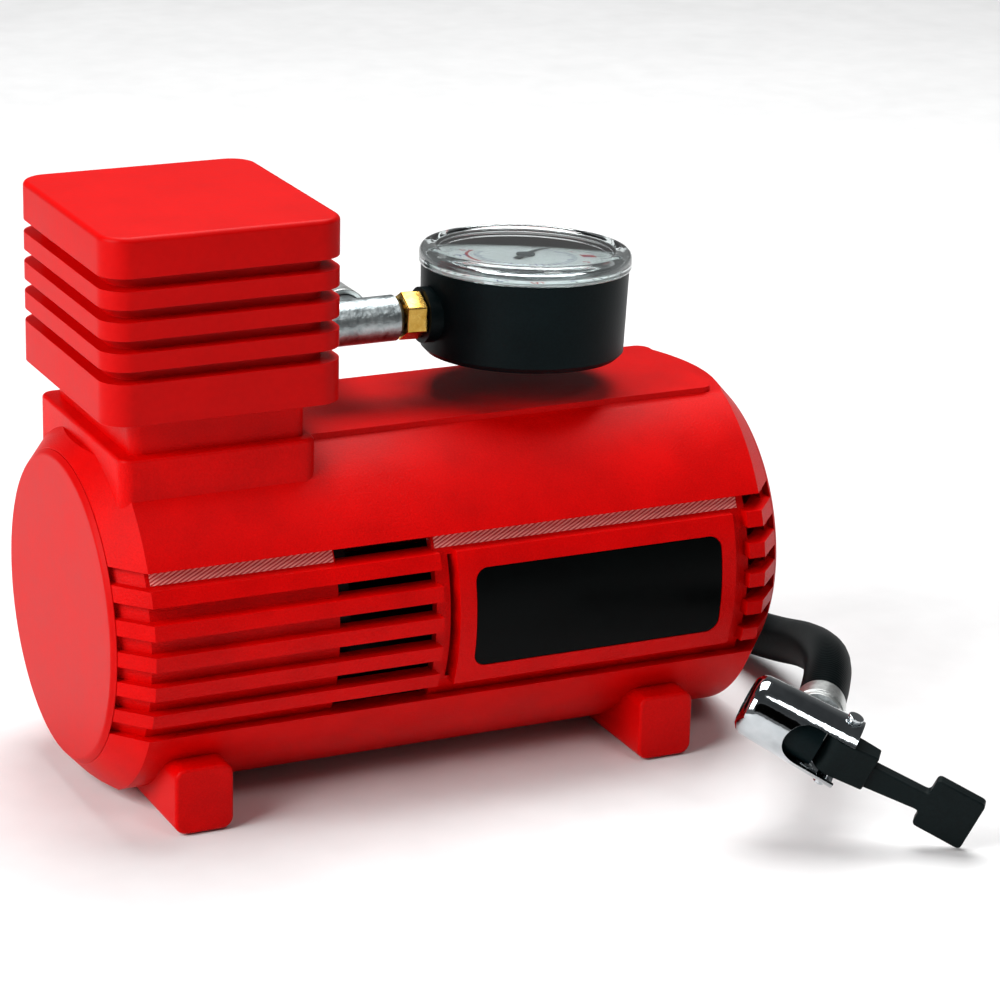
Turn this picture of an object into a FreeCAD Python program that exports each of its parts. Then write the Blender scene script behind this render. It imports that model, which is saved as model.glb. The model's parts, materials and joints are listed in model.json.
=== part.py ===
import FreeCAD, Part
import Sketcher
import math
import os
import re
from FreeCAD import Placement, Rotation, Vector

# A 12 V air compressor in a moulded plastic housing, in millimetres.
# +Z is up, X runs along the barrel, the front with the label faces -Y, and the
# origin is on the floor below the middle of the barrel.

sizes = {
    # barrel and its end plates
    "barrel_radius": 41.0,
    "axis_height": 40.5,
    "half_length": 79.2,
    "shoulder_reach": 71.9,
    "seat_reach": 78.0,
    "disc_radius": 33.15,
    "wall": 2.5,
    "underside": 3.0,
    "top_flat": 77.6,
    "lip_width": 2.5,
    "lip_bore": 29.8,
    "plate_wall": 1.6,
    # raised band along the top
    "band_half_width": 17.5,
    "band_rise": 1.3,
    "band_end": 70.0,
    # recessed belt with its ribs, openings, pad and label
    "belt_depth": 2.7,
    "belt_wall": 2.3,
    "rib_pitch": 6.8,
    "rib_thickness": 3.3,
    "rib_end": -6.4,
    "vent_start": -29.5,
    "vent_end": -7.0,
    "tab_start": 68.0,
    "tab_vent_start": 69.0,
    "slit_start": -3.7,
    "pad_start": -2.6,
    "pad_end": 64.6,
    "pad_half_height": 15.2,
    "label_start": 1.3,
    "label_end": 61.2,
    "label_half_height": 11.3,
    "label_corner": 3.0,
    "label_thickness": 0.4,
    "label_depth": 0.5,
    "label_gap": 0.15,
    # feet
    "foot_width": 13.2,
    "foot_height": 15.0,
    "foot_reach": 38.3,
    "left_foot": -60.2,
    "right_foot": 49.8,
    "foot_corner": 2.6,
    # pedestal, neck and finned head cover over the cylinder
    "cylinder_place": -51.1,
    "pedestal_left": -74.2,
    "pedestal_right": -30.0,
    "pedestal_half_width": 26.6,
    "pedestal_top": 80.9,
    "pedestal_corner": 3.0,
    "neck_left": -71.0,
    "neck_right": -31.5,
    "neck_half_width": 24.0,
    "head_left": -77.8,
    "head_right": -24.4,
    "head_half_width": 29.0,
    "head_base": 89.0,
    "head_top": 129.1,
    "head_corner": 6.0,
    "head_wall": 2.0,
    "cap_thickness": 8.6,
    "fin_pitch": 6.6,
    "fin_gap": 2.6,
    "fin_depth": 3.0,
    # housing screws
    "boss_radius": 4.0,
    "screw_radius": 1.5,
    "screw_head_radius": 2.8,
    "screw_length": 28.0,
    "screw_seat": 18.0,
    # motor
    "motor_height": 25.0,
    "motor_radius": 17.9,
    "motor_length": 56.0,
    "motor_wall": 1.2,
    "magnet_thickness": 3.2,
    "rotor_radius": 12.6,
    "shaft_radius": 1.59,
    "running_gap": 0.05,
    "motor_bolt_place": 8.5,
    # gear train and crank
    "gear_module": 0.8,
    "pinion_teeth": 12,
    "gear_teeth": 43,
    "gear_left": -43.0,
    "gear_width": 7.0,
    "axle_radius": 2.0,
    "crank_radius": 6.0,
    "crank_pin_radius": 2.5,
    "bearing_radius": 6.5,
    "bearing_width": 5.0,
    "open_pivot_gap": 0.5,
    # gearbox bracket, cylinder and head
    "bracket_face": -30.0,
    "bracket_thickness": 4.0,
    "deck_bottom": 66.0,
    "deck_thickness": 3.0,
    "bore_radius": 11.0,
    "sleeve_wall": 2.0,
    "sleeve_height": 22.5,
    "cooling_fin_radius": 15.5,
    "piston_height": 5.5,
    "valve_plate_thickness": 2.0,
    "head_block_half": 16.5,
    "head_block_height": 10.5,
    "head_screw_place": 12.8,
    "head_screw_radius": 2.0,
    # outlet
    "outlet_height": 97.4,
    "tube_radius": 5.1,
    "tube_end": -0.5,
    "spigot_radius": 3.2,
    "branch_place": -11.0,
    "branch_radius": 4.6,
    "branch_reach": 6.2,
    "ferrule_radius": 5.9,
    "ferrule_start": 5.8,
    "ferrule_end": 21.0,
    "hose_radius": 5.3,
    # pressure gauge, in its own leaning frame
    "gauge_place": 30.4,
    "gauge_height": 106.46,
    "gauge_lean": 3.0,
    "gauge_radius": 23.2,
    "gauge_taper": 0.5,
    "gauge_depth": 19.6,
    "gauge_wall": 1.8,
    "lens_radius": 23.7,
    "lens_height": 4.4,
    "dial_radius": 20.8,
    "stem_drop": 9.9,
    "needle_length": 17.0,
    # chuck on the end of the hose, in its own frame
    "chuck_x": 48.8,
    "chuck_y": -79.3,
    "chuck_z": 28.3,
    "chuck_yaw": -36.1,
    "chuck_pitch": 25.1,
    "chuck_roll": 3.5,
    "shell_length": 22.6,
    "shell_front_radius": 7.1,
    "shell_open_radius": 8.0,
    "shell_wall": 0.8,
    "valve_radius": 4.1,
    "neck_place": 13.5,
    "neck_radius": 2.7,
    "pin_place": 20.1,
    "pin_radius": 1.25,
    "cam_radius": 3.6,
    "cam_offset": 1.4,
    "lever_hub_end": 28.5,
    "lever_neck_end": 41.2,
    "lever_end": 53.0,
    "paddle_half_width": 6.1,
    "crimp_start": 8.9,
    "crimp_end": 16.0,
    "crimp_radius": 5.6,
    # cable entry in the right end plate
    "cable_radius": 2.7,
    "cable_y": 12.0,
    "cable_z": 23.5,
}

doc = FreeCAD.newDocument("air_compressor")
sheet = doc.addObject("Spreadsheet::Sheet", "dims")
for row, (word, value) in enumerate(sizes.items(), 1):
    sheet.set(f"A{row}", word)
    sheet.set(f"B{row}", str(value))
    sheet.setAlias(f"B{row}", word)
doc.recompute()

upright = Rotation()
along_x = Rotation(Vector(0, 1, 0), 90)
against_x = Rotation(Vector(0, 1, 0), -90)
along_y = Rotation(Vector(1, 0, 0), -90)
origin = ("0", "0", "0")
kept = []


# ---------------------------------------------------------------- helpers
def bound(text):
    """The expression with each size's name tied to its cell."""

    def cell(found):
        word = found.group()
        return "dims." + word if word in sizes else word

    return re.sub(r"[a-z_]+", cell, str(text))


def number(text):
    return float(sheet.evalExpression(bound(text)))


def tied(thing, **properties):
    for name, text in properties.items():
        thing.setExpression(name, bound(text))
    return thing


def placed(thing, at=origin, turn=upright):
    thing.Placement = Placement(Vector(*[number(text) for text in at]), turn)
    for word, text in zip("xyz", at):
        thing.setExpression("Placement.Base." + word, bound(text))
    return thing


def keep(label, thing):
    """Name a finished sub-part and list it for export."""
    thing.Label = label
    kept.append(thing)
    return thing


def block(name, x, y, z):
    """A box between two expressions on each axis."""
    made = doc.addObject("Part::Box", name)
    length, width, height = (f"({high}) - ({low})" for low, high in (x, y, z))
    tied(made, Length=length, Width=width, Height=height)
    return placed(made, (x[0], y[0], z[0]))


def rod(name, radius, length, at=origin, turn=upright):
    made = tied(doc.addObject("Part::Cylinder", name), Radius=radius, Height=length)
    return placed(made, at, turn)


def fused(name, *pieces):
    made = doc.addObject("Part::MultiFuse", name)
    made.Shapes = list(pieces)
    made.Refine = True
    return made


def shared(name, *pieces):
    made = doc.addObject("Part::MultiCommon", name)
    made.Shapes = list(pieces)
    made.Refine = True
    return made


def cut(name, base, *tools):
    made = doc.addObject("Part::Cut", name)
    made.Base = base
    made.Tool = tools[0] if len(tools) == 1 else fused(name + "_tools", *tools)
    made.Refine = True
    return made


def group(name, *pieces):
    made = doc.addObject("Part::Compound", name)
    made.Links = list(pieces)
    return made


def sketched(body, plane, profile, offset="0"):
    """A closed outline whose every corner is tied to two expressions."""
    sketch = body.newObject("Sketcher::SketchObject", body.Name + "_outline")
    support = [feature for feature in body.Origin.OriginFeatures if feature.Role == plane][0]
    sketch.AttachmentSupport = [(support, "")]
    sketch.MapMode = "FlatFace"
    sketch.setExpression("AttachmentOffset.Base.z", bound(offset))
    corners = [Vector(number(across), number(up), 0) for across, up in profile]
    count = len(corners)
    for index, corner in enumerate(corners):
        sketch.addGeometry(Part.LineSegment(corner, corners[(index + 1) % count]), False)
    for index in range(count):
        sketch.addConstraint(Sketcher.Constraint("Coincident", index, 2, (index + 1) % count, 1))
    for index, texts in enumerate(profile):
        for kind, text in zip(("DistanceX", "DistanceY"), texts):
            place = sketch.addConstraint(Sketcher.Constraint(kind, -1, 1, index, 1, number(text)))
            sketch.setExpression(f"Constraints[{place}]", bound(text))
    return sketch


def turned(name, profile, at=origin, turn=upright):
    """A body of revolution about its own Z, from (radius, height) corners."""
    body = doc.addObject("PartDesign::Body", name)
    sketch = sketched(body, "XZ_Plane", profile)
    spin = body.newObject("PartDesign::Revolution", name + "_turning")
    spin.Profile = sketch
    spin.ReferenceAxis = (sketch, ["V_Axis"])
    spin.Angle = 360
    return placed(body, at, turn)


def prism(name, plane, profile, length, offset="0"):
    """An outline on one of the body's own planes, padded along that plane's normal."""
    body = doc.addObject("PartDesign::Body", name)
    sketch = sketched(body, plane, profile, offset)
    pad = body.newObject("PartDesign::Pad", name + "_pad")
    pad.Profile = sketch
    tied(pad, Length=length)
    return body


def rounded(body, radius, picked):
    """Round the edges of the body's last feature that picked() accepts."""
    doc.recompute()
    base = body.Tip
    names = [f"Edge{index}" for index, edge in enumerate(base.Shape.Edges, 1) if picked(edge)]
    fillet = body.newObject("PartDesign::Fillet", body.Name + "_rounding")
    fillet.Base = (base, names)
    tied(fillet, Radius=radius)
    return body


def runs_along(axis):
    def picked(edge):
        ends = [vertex.Point for vertex in edge.Vertexes]
        return len(ends) == 2 and abs(abs((ends[1] - ends[0]).normalize().dot(axis)) - 1) < 1e-6

    return picked


def lies_at(axis, place):
    def picked(edge):
        return all(abs(vertex.Point.dot(axis) - place) < 1e-4 for vertex in edge.Vertexes)

    return picked


def rounded_block(name, x, y, z, corner):
    """A box between expressions whose upright edges are rounded."""
    profile = [(x[0], y[0]), (x[1], y[0]), (x[1], y[1]), (x[0], y[1])]
    body = prism(name, "XY_Plane", profile, f"({z[1]}) - ({z[0]})", z[0])
    return rounded(body, corner, runs_along(Vector(0, 0, 1)))


def both_ways(reach):
    return (f"-({reach})", reach)


# ---------------------------------------------------------------- housing
slope = "(barrel_radius - disc_radius) / (half_length - shoulder_reach)"
seat_radius = f"(disc_radius + (half_length - seat_reach) * {slope})"
axis = ("0", "0", "axis_height")
far = "barrel_radius + 20"
belt_half = "(3 * rib_pitch - rib_thickness / 2)"


def barrel_body(name, inset):
    """The barrel's solid with its coned ends, with every radius smaller by inset."""
    end = f"{seat_radius} - ({inset})"
    side = f"barrel_radius - ({inset})"
    profile = [
        ("0", "-seat_reach"),
        (end, "-seat_reach"),
        (side, "-shoulder_reach"),
        (side, "shoulder_reach"),
        (end, "seat_reach"),
        ("0", "seat_reach"),
    ]
    return turned(name, profile, axis, along_x)


def barrel_hollow(name, inset):
    """The space inside the wall, with the two lips that the end plates sit in."""
    side = f"(barrel_radius - ({inset}))"
    bend = "(shoulder_reach - 0.43 * wall)"
    inner = "(seat_reach - lip_width)"
    end = f"({side} - {slope} * ({inner} - {bend}))"
    profile = [
        ("0", "-seat_reach - 1"),
        ("lip_bore", "-seat_reach - 1"),
        ("lip_bore", f"-{inner}"),
        (end, f"-{inner}"),
        (side, f"-{bend}"),
        (side, bend),
        (end, inner),
        ("lip_bore", inner),
        ("lip_bore", "seat_reach + 1"),
        ("0", "seat_reach + 1"),
    ]
    return turned(name, profile, axis, along_x)


def level(name, x, half):
    """A slab across the whole width, centred on the barrel's axis."""
    return block(name, x, both_ways(far), (f"axis_height - ({half})", f"axis_height + ({half})"))


def rows(name, x, thickness, count):
    """Slabs at the rib pitch, spread evenly about the barrel's axis."""
    slabs = []
    for index in range(count):
        middle = f"axis_height + rib_pitch * {index - (count - 1) / 2}"
        z = (f"{middle} - ({thickness}) / 2", f"{middle} + ({thickness}) / 2")
        slabs.append(block(f"{name}_{index}", x, both_ways(far), z))
    return slabs


def foot(name, place):
    low, high = f"{place} - foot_width / 2", f"{place} + foot_width / 2"
    profile = [(low, "0"), (high, "0"), (high, "foot_height"), (low, "foot_height")]
    body = prism(name, "XZ_Plane", profile, "2 * foot_reach", "-foot_reach")
    rounded(body, "foot_corner", runs_along(Vector(0, 1, 0)))
    reach = number("foot_reach")
    ends = [lies_at(Vector(0, 1, 0), side * reach) for side in (-1, 1)]
    return rounded(body, "foot_corner / 3", lambda edge: any(test(edge) for test in ends))


everywhere = both_ways("half_length + 20")
trims = [
    block("above_top", everywhere, both_ways(far), ("top_flat", "top_flat + 40")),
    block("below_bottom", everywhere, both_ways(far), ("underside - 40", "underside")),
]
barrel = cut("barrel", barrel_body("barrel_turned", "0"), *trims)
belt_slab = level("belt_slab", everywhere, belt_half)
belt_floor = shared("belt_floor", barrel_body("belt_core", "belt_depth"), belt_slab)
rib_slabs = rows("rib", ("-seat_reach - 1", "rib_end"), "rib_thickness", 5)
tab_slabs = rows("tab", ("tab_start", "seat_reach + 1"), "rib_thickness", 5)
pad_slab = level("pad_slab", ("pad_start", "pad_end"), "pad_half_height")
proud = fused("proud_slabs", pad_slab, *rib_slabs, *tab_slabs)
band = rounded_block(
    "band",
    ("pedestal_right - 5", "band_end"),
    both_ways("band_half_width"),
    ("top_flat - 12", "top_flat + band_rise"),
    "3",
)
neck = rounded_block(
    "neck",
    ("neck_left", "neck_right"),
    both_ways("neck_half_width"),
    ("pedestal_top - 6", "head_base"),
    "pedestal_corner",
)
pedestal = rounded_block(
    "pedestal",
    ("pedestal_left", "pedestal_right"),
    both_ways("pedestal_half_width"),
    ("axis_height + 15", "pedestal_top"),
    "pedestal_corner",
)
rounded(pedestal, "0.8", lies_at(Vector(0, 0, 1), number("pedestal_top")))
outside = fused(
    "outside",
    cut("barrel_without_belt", barrel, belt_slab),
    belt_floor,
    shared("proud_parts", barrel_body("barrel_copy", "0"), proud),
    band,
    pedestal,
    neck,
    foot("foot_left", "left_foot"),
    foot("foot_right", "right_foot"),
)

hollow_main = cut(
    "hollow_main",
    barrel_hollow("hollow_turned", "wall"),
    level("hollow_belt_slab", everywhere, f"{belt_half} + belt_wall"),
    block("hollow_top", everywhere, both_ways(far), ("top_flat - wall", "top_flat + 40")),
    block("hollow_bottom", everywhere, both_ways(far), ("underside - 40", "underside + wall")),
)
hollow_pedestal = block(
    "hollow_pedestal",
    ("pedestal_left + wall", "pedestal_right - wall"),
    both_ways("pedestal_half_width - wall"),
    ("axis_height + 15", "pedestal_top - wall"),
)
hollow_neck = block(
    "hollow_neck",
    ("neck_left + wall", "neck_right - wall"),
    both_ways("neck_half_width - wall"),
    ("axis_height + 15", "head_base + 1"),
)
hollow = fused(
    "hollow",
    hollow_main,
    barrel_hollow("hollow_belt", "belt_depth + belt_wall"),
    hollow_pedestal,
    hollow_neck,
)

# Screws run along Y from the rear half into bosses in the front half.
screw_places = [("62", "62"), ("62", "18"), ("8", "66"), ("-66.5", "17"), ("-66.5", "60")]


def along_screws(name, radius, y):
    rods = []
    for index, (x, z) in enumerate(screw_places):
        rods.append(rod(f"{name}_{index}", radius, f"({y[1]}) - ({y[0]})", (x, y[0], z), along_y))
    return rods


boss_rods = fused("boss_rods", *along_screws("boss", "boss_radius", both_ways("barrel_radius")))
bosses = shared("bosses", outside, boss_rods)
slot_height = "rib_pitch - rib_thickness"


def label_band(name, inner, outer, gap):
    """A curved sheet over the pad, between two radii, that stays gap inside the recess."""
    x = (f"label_start + {gap}", f"label_end - ({gap})")
    z = (f"axis_height - label_half_height + {gap}", f"axis_height + label_half_height - ({gap})")
    ring = [(inner, x[0]), (outer, x[0]), (outer, x[1]), (inner, x[1])]
    corners = [(x[0], z[0]), (x[1], z[0]), (x[1], z[1]), (x[0], z[1])]
    window = prism(name + "_window", "XZ_Plane", corners, "barrel_radius + 10")
    rounded(window, f"label_corner - {gap}", runs_along(Vector(0, 1, 0)))
    return shared(name, turned(name + "_ring", ring, axis, along_x), window)


shell = cut(
    "shell",
    fused("shell_with_bosses", cut("shell_hollow", outside, hollow), bosses),
    *rows("vent", ("vent_start", "vent_end"), slot_height, 6),
    *rows("tab_vent", ("tab_vent_start", "seat_reach - lip_width"), slot_height, 6),
    level("pad_slit", ("slit_start", "pad_start"), "pad_half_height - 1.2"),
    *along_screws("screw_hole", "screw_radius + running_gap", ("screw_seat - screw_length - 1", far)),
    *along_screws("screw_recess", "screw_head_radius + 0.3", ("screw_seat", far)),
    label_band("label_recess", "barrel_radius - label_depth", "barrel_radius + 5", "0"),
)
whole_height = ("-10", "head_top + 10")
front_space = block("front_space", everywhere, (f"-({far})", "0"), whole_height)
rear_space = block("rear_space", everywhere, ("0", far), whole_height)
keep("front_housing", shared("front_half", shell, front_space))
keep("rear_housing", shared("rear_half", shell, rear_space))
label_skin = "barrel_radius - label_depth + label_thickness"
keep("label_plate", label_band("label", "barrel_radius - label_depth", label_skin, "label_gap"))

screws = []
for index, (x, z) in enumerate(screw_places):
    profile = [
        ("0", "-screw_length"),
        ("screw_radius", "-screw_length"),
        ("screw_radius", "0"),
        ("screw_head_radius", "0"),
        ("screw_head_radius", "1.6"),
        ("screw_head_radius - 0.6", "2.2"),
        ("0", "2.2"),
    ]
    screws.append(turned(f"housing_screw_{index}", profile, (x, "screw_seat", z), along_y))
keep("housing_screws", group("screw_set", *screws))


def end_plate(name, at, turn):
    spigot = "(lip_bore - 0.15)"
    profile = [
        ("0", "-plate_wall + half_length - seat_reach"),
        (f"{spigot} - plate_wall", "-plate_wall + half_length - seat_reach"),
        (f"{spigot} - plate_wall", "-lip_width"),
        (spigot, "-lip_width"),
        (spigot, "0"),
        (seat_radius, "0"),
        ("disc_radius", "half_length - seat_reach"),
        ("0", "half_length - seat_reach"),
    ]
    return turned(name, profile, at, turn)


keep("left_end_plate", end_plate("plate_left", ("-seat_reach", "0", "axis_height"), against_x))
cable_at = ("seat_reach - 5", "cable_y", "cable_z")
keep(
    "right_end_plate",
    cut(
        "plate_right",
        end_plate("plate_right_blank", ("seat_reach", "0", "axis_height"), along_x),
        rod("cable_hole", "cable_radius + 2", "half_length - seat_reach + 10", cable_at, along_x),
        rod("cable_seat", "cable_radius + 3.4", "5", ("half_length - 0.8", "cable_y", "cable_z"), along_x),
    ),
)
grommet = [
    ("cable_radius", "-5"),
    ("cable_radius + 3", "-5"),
    ("cable_radius + 3", "-1.8"),
    ("cable_radius + 1.95", "-1.8"),
    ("cable_radius + 1.95", "-0.8"),
    ("cable_radius + 3.3", "-0.8"),
    ("cable_radius + 3.3", "-0.2"),
    ("cable_radius + 2.9", "0"),
    ("cable_radius", "0"),
]
keep("cable_grommet", turned("grommet", grommet, ("half_length", "cable_y", "cable_z"), along_x))

# ---------------------------------------------------------------- finned head cover
head_x = ("head_left", "head_right")


def head_slab(name, z, inset="0"):
    x = (f"head_left + {inset}", f"head_right - {inset}")
    return rounded_block(name, x, both_ways(f"head_half_width - {inset}"), z, "head_corner")


cap_bottom = "(head_top - cap_thickness)"
slabs = [head_slab("head_core", ("head_base", "head_top - 1"), "fin_depth")]
cap = head_slab("cap", (cap_bottom, "head_top"))
slabs.append(rounded(cap, "1.2", lies_at(Vector(0, 0, 1), number("head_top"))))
for index in range(3):
    top = f"{cap_bottom} - fin_gap - {index} * fin_pitch"
    slabs.append(head_slab(f"fin_{index}", (f"{top} - fin_pitch + fin_gap", top)))
slabs.append(head_slab("head_skirt", ("head_base", f"{cap_bottom} - fin_gap - 3 * fin_pitch")))
inset = "(fin_depth + head_wall)"
cavity = rounded_block(
    "head_cavity",
    (f"head_left + {inset}", f"head_right - {inset}"),
    both_ways(f"head_half_width - {inset}"),
    ("head_base + head_wall", "head_top - 3.5"),
    "2",
)
mouth = block(
    "head_mouth",
    ("neck_left + wall", "neck_right - wall"),
    both_ways("neck_half_width - wall"),
    ("head_base - 1", "head_base + head_wall + 1"),
)
tube_way = rod(
    "tube_way", "tube_radius + 1.6", "14", ("head_right - 11", "0", "outlet_height"), along_x
)
keep("head_cover", cut("cover", fused("head_slabs", *slabs), cavity, mouth, tube_way))

# ---------------------------------------------------------------- gearbox bracket
gear_radius = "(gear_module * gear_teeth / 2)"
pinion_radius = "(gear_module * pinion_teeth / 2)"
gear_height = f"(motor_height + {gear_radius} + {pinion_radius})"
hub = ("cylinder_place", "0")


def head_bolts(name, radius, z):
    rods = []
    for across in (-1, 1):
        for along in (-1, 1):
            at = (f"cylinder_place + {along} * head_screw_place", f"{across} * head_screw_place", z[0])
            rods.append(rod(f"{name}_{along}_{across}", radius, f"({z[1]}) - ({z[0]})", at))
    return rods


bracket_end = "(bracket_face + bracket_thickness)"
bracket_disc = turned(
    "bracket_disc",
    [
        ("0", "bracket_face"),
        ("barrel_radius - belt_depth - belt_wall - 0.3", "bracket_face"),
        ("barrel_radius - belt_depth - belt_wall - 0.3", bracket_end),
        ("0", bracket_end),
    ],
    axis,
    along_x,
)
bracket_zone = block(
    "bracket_zone", everywhere, both_ways(far), ("underside + wall + 0.3", "deck_bottom + deck_thickness")
)
deck = block(
    "deck",
    ("cylinder_place - 19", bracket_end),
    both_ways("19"),
    ("deck_bottom", "deck_bottom + deck_thickness"),
)


def motor_bolts(name, radius, x):
    rods = []
    for side in (-1, 1):
        at = (x[0], f"{side} * motor_bolt_place", "motor_height")
        rods.append(rod(f"{name}_{side}", radius, f"({x[1]}) - ({x[0]})", at, along_x))
    return rods


axle_at = ("bracket_face - 1", "0", gear_height)
bolt_gap = "head_screw_radius + running_gap"
keep(
    "gearbox_bracket",
    cut(
        "bracket",
        fused("bracket_blank", shared("bracket_plate", bracket_disc, bracket_zone), deck),
        rod("motor_way", "6.1", "10", ("bracket_face - 1", "0", "motor_height"), along_x),
        rod("axle_way", "axle_radius", "10", axle_at, along_x),
        rod("cylinder_way", "bore_radius", "10", (*hub, "deck_bottom - 1")),
        *motor_bolts("motor_bolt_way", "1.55", ("bracket_face - 1", f"{bracket_end} + 1")),
        *head_bolts("deck_bolt_way", bolt_gap, ("deck_bottom - 1", "deck_bottom + 9")),
    ),
)
axle_start = ("gear_left - 1.5", "0", gear_height)
keep("gear_axle", rod("axle", "axle_radius", f"{bracket_end} - {axle_start[0]}", axle_start, along_x))

# ---------------------------------------------------------------- motor, its axis along X
motor_start = bracket_end
motor_axis = ("0", "0", "motor_height")
can_end = f"({motor_start} + motor_length)"
can = [
    ("4.2", f"{motor_start} - 3"),
    ("6", f"{motor_start} - 3"),
    ("6", motor_start),
    ("motor_radius - 1", motor_start),
    ("motor_radius", f"{motor_start} + 1"),
    ("motor_radius", can_end),
    ("motor_radius - motor_wall", can_end),
    ("motor_radius - motor_wall", f"{motor_start} + 1.4"),
    ("4.2", f"{motor_start} + 1.4"),
]
keep(
    "motor_can",
    cut(
        "can",
        turned("can_blank", can, motor_axis, along_x),
        *motor_bolts("can_bolt_way", "1.55", (f"{motor_start} - 1", f"{motor_start} + 3")),
    ),
)
magnet_outer = "(motor_radius - motor_wall)"
magnet_inner = f"({magnet_outer} - magnet_thickness)"
magnet_ring = turned(
    "magnet_ring",
    [
        (magnet_inner, f"{motor_start} + 9"),
        (magnet_outer, f"{motor_start} + 9"),
        (magnet_outer, f"{motor_start} + 45"),
        (magnet_inner, f"{motor_start} + 45"),
    ],
    motor_axis,
    along_x,
)
magnet_gap = block("magnet_gap", everywhere, ("-5", "5"), ("motor_height - 20", "motor_height + 20"))
keep("motor_magnets", cut("magnets", magnet_ring, magnet_gap))
bell = [
    ("3.7", f"{can_end} + 0.2"),
    ("motor_radius - 0.6", f"{can_end} + 0.2"),
    ("motor_radius - 0.6", f"{can_end} + 4"),
    ("motor_radius - 2", f"{can_end} + 5.4"),
    ("5.5", f"{can_end} + 5.4"),
    ("5.5", f"{can_end} + 7.5"),
    ("3.7", f"{can_end} + 7.5"),
]
keep("motor_end_bell", turned("end_bell", bell, motor_axis, along_x))


def bush(name, outer, start, length):
    gap = "shaft_radius + running_gap"
    end = f"{start} + {length}"
    profile = [(gap, start), (outer, start), (outer, end), (gap, end)]
    return turned(name, profile, motor_axis, along_x)


keep(
    "motor_bushes",
    group(
        "bushes",
        bush("front_bush", "4.2", f"{motor_start} - 3", "4"),
        bush("rear_bush", "3.7", f"{can_end} + 1", "4"),
    ),
)
keep(
    "motor_shaft",
    rod(
        "shaft",
        "shaft_radius",
        f"{can_end} + 6 - gear_left - 1",
        ("gear_left + 1", "0", "motor_height"),
        along_x,
    ),
)
core_start, core_end = f"({motor_start} + 12)", f"({motor_start} + 40)"
core_ring = turned(
    "core_ring",
    [
        ("shaft_radius", core_start),
        ("rotor_radius", core_start),
        ("rotor_radius", core_end),
        ("shaft_radius", core_end),
    ],
    motor_axis,
    along_x,
)
slots = []
for index in range(5):
    angle = 360 / 5 * index + 36
    turn = Rotation(Vector(1, 0, 0), angle)
    slot = tied(doc.addObject("Part::Box", f"slot_{index}"), Length=f"{core_end} - {core_start} + 2")
    tied(slot, Width="2", Height="rotor_radius")
    start = turn.multVec(Vector(0, -1, 6))
    at = (f"{core_start} - 1", f"{start.y:.4f}", f"motor_height + ({start.z:.4f})")
    slots.append(placed(slot, at, turn))
keep("armature_core", cut("core", core_ring, *slots))
windings = []
coil_ends = (("coil_front", f"{core_start} - 5", core_start), ("coil_rear", core_end, f"{core_end} + 5"))
for name, start, end in coil_ends:
    profile = [
        ("shaft_radius + 1", start),
        ("rotor_radius - 3", start),
        ("rotor_radius - 1.5", f"{start} + 2"),
        ("rotor_radius - 1.5", f"{start} + 3"),
        ("rotor_radius - 3", end),
        ("shaft_radius + 1", end),
    ]
    windings.append(turned(name, profile, motor_axis, along_x))
keep("armature_windings", group("windings", *windings))
commutator_start = f"({core_end} + 6)"
keep(
    "commutator",
    turned(
        "commutator_ring",
        [
            ("shaft_radius", commutator_start),
            ("5", commutator_start),
            ("5", f"{commutator_start} + 8"),
            ("shaft_radius", f"{commutator_start} + 8"),
        ],
        motor_axis,
        along_x,
    ),
)
brushes = []
for side in (-1, 1):
    y = ("5.2", "10") if side > 0 else ("-10", "-5.2")
    x = (f"{commutator_start} + 2", f"{commutator_start} + 6")
    brushes.append(block(f"brush_{side}", x, y, ("motor_height - 2", "motor_height + 2")))
keep("motor_brushes", group("brushes", *brushes))
motor_screws = []
for side in (-1, 1):
    profile = [("0", "-2"), ("2.7", "-2"), ("2.7", "0"), ("1.5", "0"), ("1.5", "5.2"), ("0", "5.2")]
    at = ("bracket_face", f"{side} * motor_bolt_place", "motor_height")
    motor_screws.append(turned(f"motor_screw_{side}", profile, at, along_x))
keep("motor_screws", group("motor_screw_set", *motor_screws))


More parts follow.
